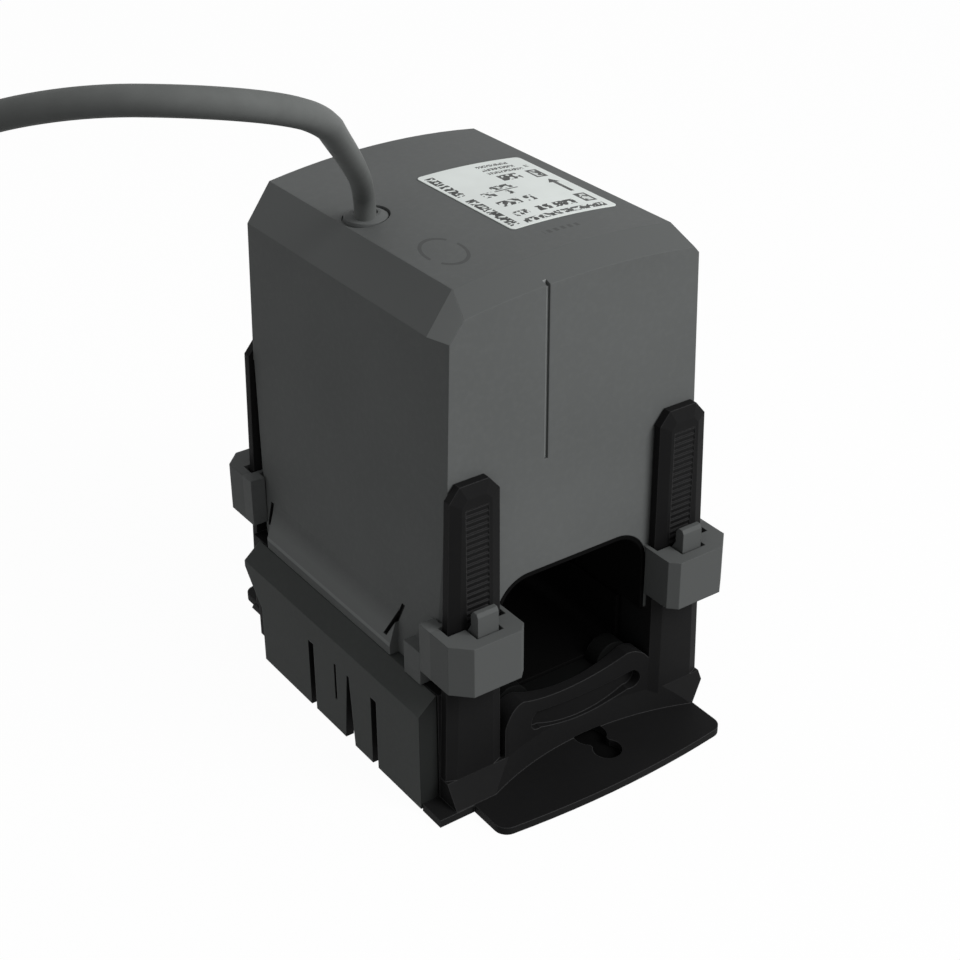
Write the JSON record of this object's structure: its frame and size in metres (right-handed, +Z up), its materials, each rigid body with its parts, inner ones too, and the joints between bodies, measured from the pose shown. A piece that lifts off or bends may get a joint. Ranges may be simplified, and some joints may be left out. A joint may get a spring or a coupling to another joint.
{
  "type": "split-core current transformer",
  "caption": "Split-core current transformer: lift-off upper housing on ratchet arms over a rounded conductor window, flanged base with keyholes, fixed output lead.",
  "frame": {"origin": "middle of the underside of the base, on the surface it stands on", "axes": "+Z up; the conductor window runs along Y with the front at -Y; +X to the right of the front"},
  "size_m": [0.2091, 0.1889, 0.1761],
  "materials": {
    "housing_grey": "fine spark-eroded matt moulding",
    "cover_grey": "fine matt moulding",
    "frame_black": "satin black moulding",
    "liner_black": "matt black moulding",
    "lamination_steel": "cut silicon steel",
    "spring_steel": "bright",
    "bobbin_nylon": "natural nylon",
    "copper_wire": "enamelled copper",
    "wrap_film": "polyester film",
    "label_white": "satin film",
    "cord_grey": "satin PVC",
    "grommet_grey": "matt",
    "tie_black": "satin nylon",
    "wire_brown": "satin PVC",
    "wire_blue": "satin PVC",
    "sleeve_clear": "crimped sleeve",
    "ferrule_tin": "tinned copper"
  },
  "bodies": {
    "lower": {"base_frame": "frame_black", "lower_cover": "cover_grey", "lower_liner": "liner_black", "lower_core": "lamination_steel", "yoke_springs": "spring_steel", "cord_coil": "cord_grey", "coil_tie": "tie_black", "cord_tail": "cord_grey", "tail_wire_brown": "wire_brown", "tail_wire_blue": "wire_blue", "ferrule_brown": "ferrule_tin", "ferrule_blue": "ferrule_tin"},
    "upper": {"upper_housing": "housing_grey", "inner_cover": "liner_black", "upper_core": "lamination_steel", "bobbin": "bobbin_nylon", "secondary_winding": "copper_wire", "winding_wrap": "wrap_film", "rating_label": "label_white", "cable_grommet": "grommet_grey", "strain_tie": "tie_black", "cord": "cord_grey", "wire_brown": "wire_brown", "wire_blue": "wire_blue", "splice_brown": "sleeve_clear", "splice_blue": "sleeve_clear", "lead_brown": "copper_wire", "lead_blue": "copper_wire"}
  },
  "joints": [
    {"name": "upper_lift", "type": "slide", "parent": "lower", "child": "upper", "axis": [0, 0, 1], "range_m": [0, 0.05]}
  ]
}
